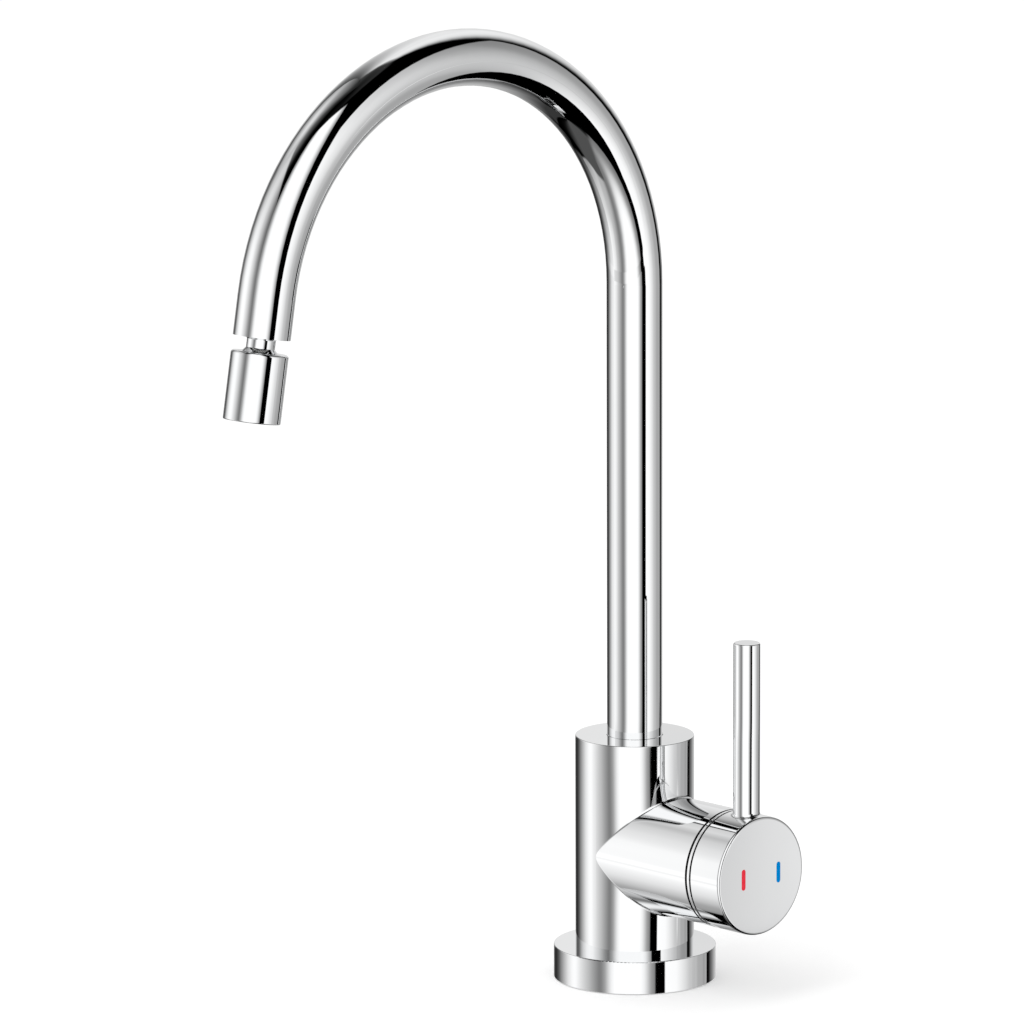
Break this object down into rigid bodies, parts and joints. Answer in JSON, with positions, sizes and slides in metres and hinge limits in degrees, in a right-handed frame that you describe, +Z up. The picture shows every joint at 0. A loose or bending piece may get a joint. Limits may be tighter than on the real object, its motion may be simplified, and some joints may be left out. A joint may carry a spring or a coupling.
{
  "type": "mixer tap",
  "caption": "Chrome single-lever kitchen mixer tap with a high swivelling gooseneck spout, side cartridge handle and a tilting aerator nozzle.",
  "frame": {"origin": "centre of the fixing stud's hole in the foot, on the plane that rests on the worktop", "axes": "+Z up the body and spout column, +X from the body along the handle's axis, -Y towards the spout's outlet at rest"},
  "size_m": [0.103, 0.2462, 0.3901],
  "materials": {
    "chrome": "polished",
    "brass": "machined",
    "steel": "satin",
    "black_rubber": "matte",
    "white_plastic": "matte",
    "grey_plastic": "matte",
    "disc_ceramic": "lapped",
    "red_enamel": "gloss",
    "blue_enamel": "gloss"
  },
  "bodies": {
    "tap_body": {"base_flange": "chrome", "base_gasket": "black_rubber", "body_casting": "chrome", "port_seal": "black_rubber", "cartridge_base": "white_plastic", "cartridge_shell": "white_plastic", "fixed_disc": "disc_ceramic", "cartridge_nut": "brass", "dome_cover": "chrome", "glide_ring": "white_plastic", "spout_grub_screw": "steel"},
    "temperature_carrier": {"stem_carrier": "grey_plastic", "carrier_seal": "black_rubber", "pivot_pin": "steel"},
    "disc_slider": {"drive_carriage": "grey_plastic", "moving_disc": "disc_ceramic"},
    "handle": {"handle_cap": "chrome", "lever": "chrome", "stem": "brass", "hot_mark": "red_enamel", "cold_mark": "blue_enamel"},
    "spout": {"spout_tube": "chrome", "spout_shank": "brass", "spout_oring_lower": "black_rubber", "spout_oring_upper": "black_rubber", "outlet_socket": "chrome", "socket_retainer": "brass", "ball_seal": "black_rubber"},
    "ball_ring": {"ball_seat": "white_plastic"},
    "nozzle": {"aerator_housing": "chrome", "ball_stem": "chrome", "neck_nut": "brass", "aerator_washer": "black_rubber", "aerator_insert": "grey_plastic"}
  },
  "joints": [
    {"name": "spout_swivel", "type": "hinge", "parent": "tap_body", "child": "spout", "pos_m": [0, 0, 0.093], "axis": [0, 0, 1], "continuous": true},
    {"name": "temperature", "type": "hinge", "parent": "tap_body", "child": "temperature_carrier", "pos_m": [0.0335, 0, 0.0525], "axis": [1, 0, 0], "range_deg": [-45, 45]},
    {"name": "flow", "type": "hinge", "parent": "temperature_carrier", "child": "handle", "pos_m": [0.0602, 0, 0.0525], "axis": [0, 1, 0], "range_deg": [0, 20]},
    {"name": "disc_slide", "type": "slide", "parent": "temperature_carrier", "child": "disc_slider", "axis": [0, 0, 1], "range_m": [0, 0.00309]},
    {"name": "outlet_swivel", "type": "hinge", "parent": "spout", "child": "ball_ring", "pos_m": [0, -0.19655, 0.2876], "axis": [0, 0.1736, 0.9848], "continuous": true},
    {"name": "outlet_tilt", "type": "hinge", "parent": "ball_ring", "child": "nozzle", "pos_m": [0, -0.19655, 0.2876], "axis": [1, 0, 0], "range_deg": [-18, 18]}
  ],
  "couplings": [
    {"joint": "disc_slide", "follows": "flow", "m_per_rad": 0.0088183}
  ]
}
